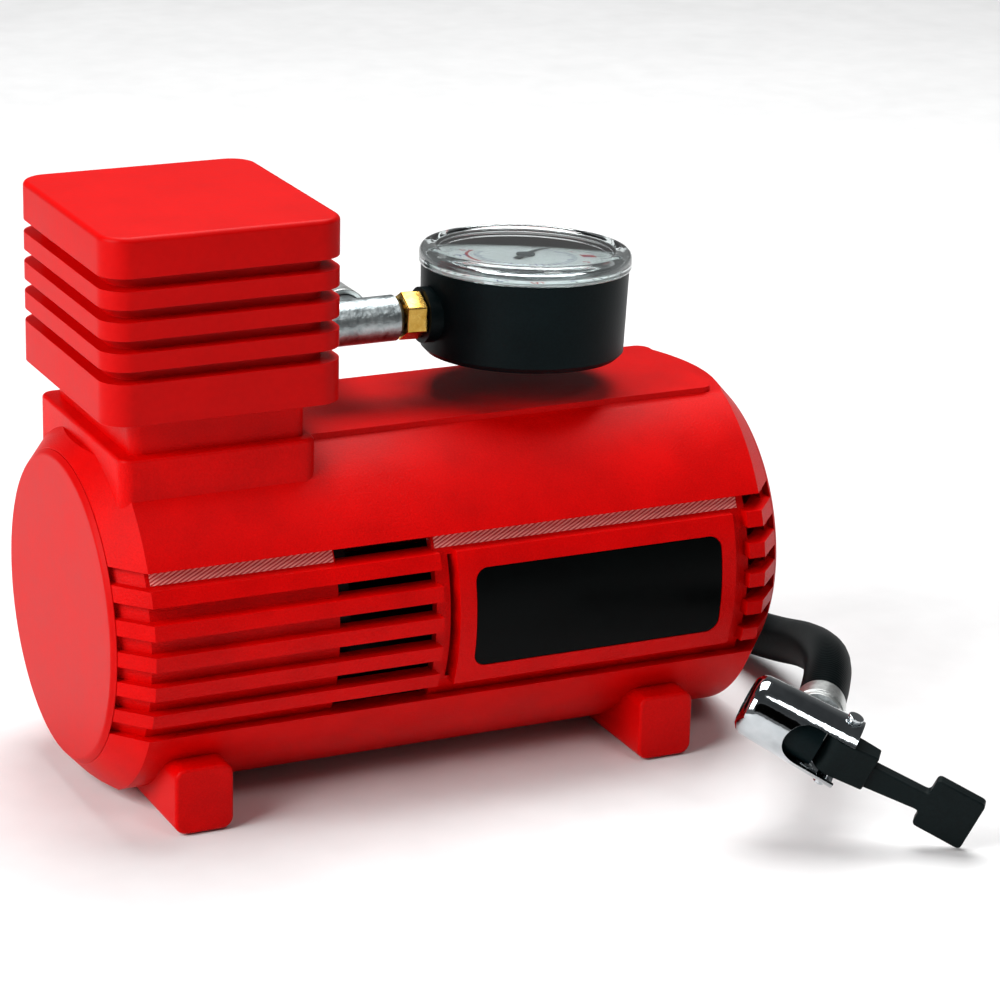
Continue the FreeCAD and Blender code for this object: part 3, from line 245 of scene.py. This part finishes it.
def castZinc():
    # zinc die casting, tumbled: mid grey with a hammered, grainy sheen
    return surface("castZinc", "#70787a", "#b4bcbd", 1.6, 0.16, (0.26, 0.44), blotch=5, sockets=metal)


def turnedAluminium():
    # aluminium turned or drawn and left bare: pale and softly bright
    return surface("turnedAluminium", "#b9bcba", "#dcdedc", 0.9, 0.03, (0.3, 0.42), blotch=6, sockets=metal)


def machinedBrass():
    # brass hexagon bar, turned: warm gold with bright facets and brown in the corners
    return surface("machinedBrass", "#b98a35", "#e3bc63", 1.2, 0.02, (0.18, 0.32), blotch=4, sockets=metal)


def polishedChrome():
    # steel pressing, chrome plated: mirror bright with slight waviness from the press
    return surface("polishedChrome", "#a9afb2", "#c6cbce", 6, 0.08, (0.05, 0.1), blotch=9, sockets=metal)


def brightSteel():
    # zinc-plated steel screws, shafts and cans: bright grey, fine scratches
    return surface("brightSteel", "#8e9294", "#b5b9bb", 0.8, 0.015, (0.25, 0.4), blotch=6, sockets=metal)


def steelInPaintedShade():
    # steel pressings behind the openings, coloured nearly black as painted shade of the dark inside of the
    # openings: dull sheen
    sheen = {"Metallic": 0.6}
    return surface("steelInPaintedShade", "#0b0c0d", "#16181a", 0.8, 0.015, (0.4, 0.55), blotch=6, sockets=sheen)


def sinteredFerrite():
    # ceramic magnets and carbon brushes: dark grey, dull
    return surface("sinteredFerrite", "#26282a", "#3a3d40", 0.6, 0.03, (0.6, 0.75))


def enamelledCopper():
    # varnished copper winding wire: orange-brown and glossy
    varnish = {"Metallic": 0.7}
    return surface("enamelledCopper", "#9a4a1e", "#c77038", 0.5, 0.08, (0.25, 0.4), sockets=varnish)


def printedDial():
    # white lacquered tin dial: clean, neutral white
    lacquer = {"Specular IOR Level": 0.2}
    return surface("printedDial", "#f2f4f3", "#fdfdfd", 4, 0.004, (0.4, 0.5), sockets=lacquer)


def dialInk(name, hexCode):
    # screen-printed ink on the dial: one flat colour, a little uneven in its sheen
    return surface(name, hexCode, hexCode, 1.0, 0.004, (0.5, 0.6))


def paintedNeedle():
    # stamped pointer, painted dark grey: satin
    return surface("paintedNeedle", "#2f3739", "#454e50", 0.8, 0.01, (0.4, 0.5))


def clearPolycarbonate():
    # clear moulded polycarbonate lens: transparent with a faint cool tint and a bright rounded rim
    made = {"ripple": 9, "depth": 0.02}
    gloss = {"Roughness": 0.03, "IOR": 1.585, "Base Color": linear("#eef6f6"), "Transmission Weight": 1.0}
    material, tree, shader = startMaterial("clearPolycarbonate", gloss)
    place = addNode(tree, "ShaderNodeTexCoord").outputs["Object"]
    ripples = addNode(tree, "ShaderNodeTexNoise", {"Scale": perMm(made["ripple"])}, {"Vector": place})
    raised(tree, shader, ripples.outputs["Fac"], made["depth"])
    return material


finish = {
    "red_housing": sparkTexturedAbs(),
    "red_smooth": smoothAbs(),
    "black_label": printedFilm(),
    "black_plastic": blackAbs(),
    "rubber": mouldedRubber(),
    "hose_rubber": extrudedRubber(),
    "cast_zinc": castZinc(),
    "turned_aluminium": turnedAluminium(),
    "brass": machinedBrass(),
    "chrome": polishedChrome(),
    "steel": brightSteel(),
    # the parts behind the openings get painted shade: nearly black steel
    "blackened_steel": steelInPaintedShade(),
    "ferrite": sinteredFerrite(),
    "copper": enamelledCopper(),
    "dial_white": printedDial(),
    "needle_grey": paintedNeedle(),
    "clear_lens": clearPolycarbonate(),
}
leverNylon = glassFilledNylon()
for part in frame["record"]["subparts"]:
    nodes[part["node"]].data.materials.clear()
    nodes[part["node"]].data.materials.append(finish[part["material_slot"]])
slotOf = {part["node"]: part["material_slot"] for part in frame["record"]["subparts"]}
print("materials made")


# making pieces
joining = {"copied": 1e-6, "turned": 1e-7, "flat": 0.6}  # metres, metres, degrees


def newPiece(name, mesh, material, body, replaced=(), place=Matrix.Identity(4)):
    mesh.materials.clear()
    mesh.materials.append(material)
    piece = bpy.data.objects.new(name, mesh)
    bpy.context.scene.collection.objects.link(piece)
    piece.matrix_world = place
    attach(piece, body)
    if replaced:
        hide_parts(*replaced)
    return piece


def bevelled(piece, width, segments=3, angle=30):
    bevel = piece.modifiers.new("edgeRounding", "BEVEL")
    bevel.width = width * mm
    bevel.segments = segments
    bevel.limit_method = "ANGLE"
    bevel.angle_limit = math.radians(angle)
    bevel.harden_normals = True
    for polygon in piece.data.polygons:
        polygon.use_smooth = True
    return piece


def softened(node, name, width, segments=3, angle=30):
    # a copy of a CAD node with its edges rounded as a moulding's are
    mesh = nodes[node].data.copy()
    if "custom_normal" in mesh.attributes:
        mesh.attributes.remove(mesh.attributes["custom_normal"])
    work = bmesh.new()
    work.from_mesh(mesh)
    bmesh.ops.remove_doubles(work, verts=work.verts, dist=joining["copied"])
    bmesh.ops.dissolve_limit(
        work,
        angle_limit=math.radians(joining["flat"]),
        verts=work.verts,
        edges=work.edges,
        use_dissolve_boundaries=False,
    )
    work.to_mesh(mesh)
    work.free()
    piece = newPiece(name, mesh, finish[slotOf[node]], nodeBody[node], [node])
    return bevelled(piece, width, segments, angle)


def turnedMesh(name, profile, steps=96):
    # profile is (radius, height) corners in mm, closed on itself and turned about Z
    work = bmesh.new()
    rings = []
    for step in range(steps):
        angle = 2 * math.pi * step / steps
        rings.append(
            [work.verts.new((r * mm * math.cos(angle), r * mm * math.sin(angle), z * mm)) for r, z in profile]
        )
    for step in range(steps):
        here, after = rings[step], rings[(step + 1) % steps]
        for index in range(len(profile)):
            following = (index + 1) % len(profile)
            work.faces.new((here[index], here[following], after[following], after[index]))
    bmesh.ops.remove_doubles(work, verts=work.verts, dist=joining["turned"])
    bmesh.ops.dissolve_degenerate(work, edges=work.edges, dist=joining["turned"])
    bmesh.ops.recalc_face_normals(work, faces=work.faces)
    mesh = bpy.data.meshes.new(name)
    work.to_mesh(mesh)
    work.free()
    return mesh


def roundCorners(points, radius, steps=5):
    # each corner of a closed outline becomes an arc that touches both of its sides
    rounded = []
    for index, corner in enumerate(points):
        before, after = Vector(points[index - 1]), Vector(points[(index + 1) % len(points)])
        corner = Vector(corner)
        arriving, leaving = (corner - before).normalized(), (after - corner).normalized()
        turn = arriving.angle(leaving)
        setback = min(radius * math.tan(turn / 2), (corner - before).length / 2, (after - corner).length / 2)
        for step in range(steps + 1):
            t = step / steps
            start, end = corner - arriving * setback, corner + leaving * setback
            rounded.append(start.lerp(corner, t).lerp(corner.lerp(end, t), t))
    return rounded


def slabMesh(name, outline, low, high, along):
    # an outline in mm, whose first value is X, as thick as from low to high along Y or Z
    work = bmesh.new()
    ends = []
    for depth in (low, high):
        corners = [(u, depth, v) if along == "Y" else (u, v, depth) for u, v in outline]
        ends.append(work.faces.new([work.verts.new([c * mm for c in corner]) for corner in corners]))
    near, far = (list(face.verts) for face in ends)
    for index in range(len(near)):
        following = (index + 1) % len(near)
        work.faces.new((near[index], near[following], far[following], far[index]))
    bmesh.ops.recalc_face_normals(work, faces=work.faces)
    mesh = bpy.data.meshes.new(name)
    work.to_mesh(mesh)
    work.free()
    return mesh


# housing, end plates and head
housing = {"edge": 0.35, "plateEdge": 0.4, "headEdge": 0.45, "labelEdge": 0.08}
softened("front_housing", "frontHousing", housing["edge"])
softened("rear_housing", "rearHousing", housing["edge"])
softened("left_end_plate", "leftEndPlate", housing["plateEdge"])
softened("right_end_plate", "rightEndPlate", housing["plateEdge"])
softened("head_cover", "headCover", housing["headEdge"])
softened("label_plate", "labelPlate", housing["labelEdge"], 2)

# hatched strips along the barrel, whose paler stripes are a painted highlight
hatching = {
    "axisHeight": 40.5,
    "floorRadius": 38.3,
    "lift": 0.06,
    "rows": [(-71.0, -29.8), (-6.4, 67.2)],  # along the barrel, left and right of the openings
    "low": 15.5,
    "high": 18.6,
    "steps": 8,
}


def hatchedStrip(name, start, end, side):
    work = bmesh.new()
    columns = []
    radius = hatching["floorRadius"] + hatching["lift"]
    for step in range(hatching["steps"] + 1):
        height = hatching["low"] + (hatching["high"] - hatching["low"]) * step / hatching["steps"]
        depth = side * math.sqrt(radius**2 - height**2)
        top = hatching["axisHeight"] + height
        columns.append([work.verts.new((x * mm, depth * mm, top * mm)) for x in (start, end)])
    for lower, upper in zip(columns, columns[1:]):
        work.faces.new((lower[0], lower[1], upper[1], upper[0]))
    bmesh.ops.recalc_face_normals(work, faces=work.faces)
    mesh = bpy.data.meshes.new(name)
    work.to_mesh(mesh)
    work.free()
    newPiece(name, mesh, stripAbs, "housing")


stripAbs = hatchedAbs()
for index, (start, end) in enumerate(hatching["rows"]):
    hatchedStrip(f"hatchedStripFront{index}", start, end, -1)
    hatchedStrip(f"hatchedStripRear{index}", start, end, 1)
print("housing done")

# outlet tube, nut and ferrule
outlet = {"tubeEdge": 0.5, "nutEdge": 0.35, "collarEdge": 0.3}
softened("outlet_manifold", "outletTube", outlet["tubeEdge"])
softened("gauge_socket", "hexagonNut", outlet["nutEdge"])
softened("outlet_grommet", "outletGrommet", outlet["collarEdge"])
softened("outlet_ferrule", "outletFerrule", outlet["collarEdge"])
softened("cable_grommet", "cableGrommet", outlet["collarEdge"])

# pressure gauge, in its own leaning frame
gauge = {
    "place": (30.4, 0, 106.46),
    "lean": 3.0,
    "start": 45,
    "sweep": 270,
    "divisions": 36,
    "longEvery": 4,  # marks from one long mark to the next
    "markHeight": -0.55,
    "numbers": 10,
    "numberSize": 3.4,
    "numberRing": 15,
    "numberHeight": -0.54,
}
gaugeFrame = Matrix.Translation(Vector(gauge["place"]) * mm) @ Matrix.Rotation(
    math.radians(gauge["lean"]), 4, Vector((-1, 1, 0))
)
softened("gauge_case", "gaugeCase", 0.6)
lensProfile = [
    (0, 3.9),
    (19.9, 3.9),
    (20.4, 4.2),
    (21.0, 4.4),
    (21.9, 4.4),
    (22.7, 4.15),
    (23.3, 3.6),
    (23.65, 2.8),
    (23.7, 1.9),
    (23.7, 0.5),
    (23.4, 0.02),
    (21.9, 0.02),
    (21.9, 1.4),
    (21.2, 2.2),
    (20.2, 2.5),
    (0, 2.5),
]
lensMesh = turnedMesh("gaugeLens", lensProfile, 128)
lens = newPiece("gaugeLens", lensMesh, finish["clear_lens"], "housing", ["gauge_lens"], gaugeFrame)
bevelled(lens, 0.25, 2)
dialRim = [(20.6, -0.62), (20.85, 0.5), (21.2, 0.5), (21.2, -0.62)]  # the dial's turned-up edge
rim = newPiece("dialRim", turnedMesh("dialRim", dialRim), finish["dial_white"], "housing", (), gaugeFrame)
bevelled(rim, 0.1, 2)
blueInk = dialInk("blueInk", "#2c2f86")
redInk = dialInk("redInk", "#c8202c")
blackInk = dialInk("blackInk", "#16181c")


def dialMarks(name, marks, material):
    # each mark is (angle, inner radius, outer radius, width), flat on the dial
    work = bmesh.new()
    for angle, inner, outer, width in marks:
        turn = Matrix.Rotation(math.radians(angle), 4, "Z")
        corners = [(inner, -width / 2), (outer, -width / 2), (outer, width / 2), (inner, width / 2)]
        height = gauge["markHeight"] * mm
        work.faces.new([work.verts.new(turn @ Vector((x * mm, y * mm, height))) for x, y in corners])
    mesh = bpy.data.meshes.new(name)
    work.to_mesh(mesh)
    work.free()
    newPiece(name, mesh, material, "housing", (), gaugeFrame)


angles = [gauge["start"] - gauge["sweep"] * i / gauge["divisions"] for i in range(gauge["divisions"] + 1)]
isShort = [i % gauge["longEvery"] for i in range(len(angles))]
dialMarks("outerMarks", [(a, 17.6 if s else 16.6, 19.4, 0.5) for s, a in zip(isShort, angles)], blackInk)
dialMarks("innerMarks", [(a + 2, 10.8 if s else 10.2, 12.2, 0.4) for s, a in zip(isShort, angles)], blueInk)
dialMarks("pressureBlock", [(-12, 13.6, 17.0, 3.8)], redInk)
dialMarks("redZone", [(a, 13.4, 14.2, 2.2) for a in angles[24:]], redInk)


def dialNumber(index):
    angle = math.radians(gauge["start"] - gauge["sweep"] * index / (gauge["numbers"] - 1))
    words = bpy.data.curves.new(f"dialNumber{index}", "FONT")
    words.body = str(2 * index)
    words.size = gauge["numberSize"] * mm
    words.align_x, words.align_y = "CENTER", "CENTER"
    words.materials.append(redInk if index % 2 else blueInk)
    number = bpy.data.objects.new(f"dialNumber{index}", words)
    bpy.context.scene.collection.objects.link(number)
    ring = gauge["numberRing"] * mm
    spot = Matrix.Translation((ring * math.cos(angle), ring * math.sin(angle), gauge["numberHeight"] * mm))
    number.matrix_world = gaugeFrame @ spot @ Matrix.Rotation(math.pi, 4, "Z")
    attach(number, "housing")


for index in range(gauge["numbers"]):
    dialNumber(index)
softened("gauge_needle", "gaugeNeedle", 0.08, 2)
print("gauge done")

# hose
hoseSettings = {
    "diameter": 10.6,
    "length": 0.541,
    "aroundSteps": 10,
    "alongSteps": 24,
    "order": 3,
    "route": [
        (-11, 21, 97.4),
        (-11, 48, 97.4),
        (-14, 80, 78),
        (-19, 108, 48),
        (-20, 134, 19),
        (-9, 166, 5.5),
        (22, 191, 5.5),
        (60, 190, 5.5),
        (90, 166, 5.5),
        (100, 130, 5.5),
        (94, 92, 5.5),
        (88, 56, 5.5),
        (94, 26, 5.5),
        (98, 0, 8),
        (93, -28, 17),
        (80.6, -58.02, 24.57),
        (68.42, -73.84, 23.46),
    ],
}
hoseCurve = bpy.data.curves.new("airHose", "CURVE")
hoseCurve.dimensions = "3D"
hoseCurve.bevel_depth = hoseSettings["diameter"] / 2 * mm
hoseCurve.bevel_resolution = hoseSettings["aroundSteps"]
hoseCurve.resolution_u = hoseSettings["alongSteps"]
hoseCurve.use_fill_caps = True
hoseCurve.materials.append(finish["hose_rubber"])
spline = hoseCurve.splines.new("NURBS")
spline.points.add(len(hoseSettings["route"]) - 1)
for point, (x, y, z) in zip(spline.points, hoseSettings["route"]):
    point.co = (x * mm, y * mm, z * mm, 1)
spline.order_u = hoseSettings["order"]
spline.use_endpoint_u = True
airHose = bpy.data.objects.new("airHose", hoseCurve)
bpy.context.scene.collection.objects.link(airHose)
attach(airHose, "housing")
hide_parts("air_hose")

# chuck on the end of the hose, in its own frame
chuck = {"place": (48.8, -79.3, 28.3), "yaw": -36.1, "pitch": 25.1, "roll": 3.5}
chuckFrame = (
    Matrix.Translation(Vector(chuck["place"]) * mm)
    @ Matrix.Rotation(math.radians(chuck["yaw"]), 4, "Z")
    @ Matrix.Rotation(math.radians(chuck["pitch"]), 4, "Y")
    @ Matrix.Rotation(math.radians(chuck["roll"]), 4, "X")
)
shell = softened("chuck_shell", "chuckShell", 0.3)
pin = softened("chuck_pin", "chuckPin", 0.2)
chuckFerrule = softened("chuck_ferrule", "chuckFerrule", 0.35)
thumbLever = {
    "outline": [
        (27.6, -4.0),
        (41.4, -2.5),
        (41.4, -6.1),
        (53.0, -6.1),
        (53.0, 6.1),
        (41.4, 6.1),
        (41.4, 2.0),
        (27.6, 1.6),
    ],
    "corner": 1.1,
    "low": -2.4,
    "high": 0.8,
    "edge": 0.4,
    "camPlace": (20.1, -1.4),
    "camRadius": 3.6,
    "camStep": 12,  # degrees
    "hubEnd": [(28.5, -3.4), (28.5, 1.3)],
    "hubHalf": 4.3,
}
stemAndPaddle = roundCorners(thumbLever["outline"], thumbLever["corner"])
bladeMesh = slabMesh("leverBlade", stemAndPaddle, thumbLever["low"], thumbLever["high"], "Y")
lever = newPiece("leverBlade", bladeMesh, leverNylon, "lever", ["chuck_lever"], chuckFrame)
bevelled(lever, thumbLever["edge"])
camX, camY = thumbLever["camPlace"]
camTurns = [math.radians(angle) for angle in range(90, 271, thumbLever["camStep"])]
cam = [
    (camX + thumbLever["camRadius"] * math.cos(turn), camY + thumbLever["camRadius"] * math.sin(turn))
    for turn in camTurns
]
hubOutline = cam + thumbLever["hubEnd"]
hubMesh = slabMesh("leverHub", hubOutline, -thumbLever["hubHalf"], thumbLever["hubHalf"], "Z")
hub = newPiece("leverHub", hubMesh, leverNylon, "lever", (), chuckFrame)
bevelled(hub, thumbLever["edge"])
print("hose and chuck done")

# floor and light
studio = {
    "floorSize": 8.0,
    "floorDrop": 0.0004,
    "key": {"place": (-0.85, -0.2, 0.6), "size": 0.6, "power": 11.5, "aim": (0, 0, 0.05)},
    "top": {"place": (0.25, 0.35, 1.2), "size": 0.9, "power": 21, "aim": (0, 0, 0.05)},
    "front": {"place": (0.24, -0.76, 1.0), "size": 0.3, "power": 1.8, "aim": (0.06, -0.08, 0.03)},
    "frontFlag": {"place": (-0.5, -1.15, 0.5), "size": (1.3, 0.7), "aim": (0.06, -0.08, 0.03)},
    "sideFlag": {"place": (0.7, -0.35, 0.35), "size": (0.5, 0.35), "aim": (0.06, -0.08, 0.03)},
    "worldStrength": 0.22,
    "skyColours": ("#ffffff", "#8c8f92"),  # low down, overhead
    "skyStops": (0.05, 0.7),
}


def rectangle(name, width, depth, material):
    corners = [(x * width / 2, y * depth / 2, 0) for x, y in ((-1, -1), (1, -1), (1, 1), (-1, 1))]
    mesh = bpy.data.meshes.new(name)
    mesh.from_pydata(corners, [], [(0, 1, 2, 3)])
    mesh.materials.append(material)
    return bpy.data.objects.new(name, mesh)


def aimed(item, made):
    item.location = made["place"]
    toAim = Vector(made["aim"]) - Vector(made["place"])
    item.rotation_euler = toAim.to_track_quat("-Z", "Y").to_euler()
    bpy.context.scene.collection.objects.link(item)


def softBox(name):
    light = bpy.data.lights.new(name + "Light", "AREA")
    light.shape = "SQUARE"
    light.size = studio[name]["size"]
    light.energy = studio[name]["power"]
    aimed(bpy.data.objects.new(name + "Light", light), studio[name])


def blackCard(name, material):
    # stands beside the camera and gives the chrome its dark bands
    card = rectangle(name, *studio[name]["size"], material)
    card.visible_camera = False
    card.visible_diffuse = False
    card.visible_shadow = False
    aimed(card, studio[name])


floorPaint = surface("paintedFloor", "#dcdcdc", "#e2e2e2", 60, 0.01, (0.7, 0.8))
floor = rectangle("floor", studio["floorSize"], studio["floorSize"], floorPaint)
floor.location.z = -studio["floorDrop"]
bpy.context.scene.collection.objects.link(floor)
for name in ("key", "top", "front"):
    softBox(name)
velvet = surface("blackVelvet", "#010101", "#030303", 5, 0.05, (0.9, 1.0), sockets={"Specular IOR Level": 0.0})
for name in ("frontFlag", "sideFlag"):
    blackCard(name, velvet)
world = bpy.data.worlds.new("studioWorld")
world.use_nodes = True
background = world.node_tree.nodes["Background"]
background.inputs["Strength"].default_value = studio["worldStrength"]
upward = addNode(world.node_tree, "ShaderNodeTexCoord").outputs["Generated"]
height = addNode(world.node_tree, "ShaderNodeSeparateXYZ", links={"Vector": upward}).outputs["Z"]
sky = colourRamp(world.node_tree, height, studio["skyColours"], studio["skyStops"])
world.node_tree.links.new(sky, background.inputs["Color"])
bpy.context.scene.world = world
bpy.context.scene.view_settings.view_transform = "Standard"  # the default washes out the red

print("scene done")
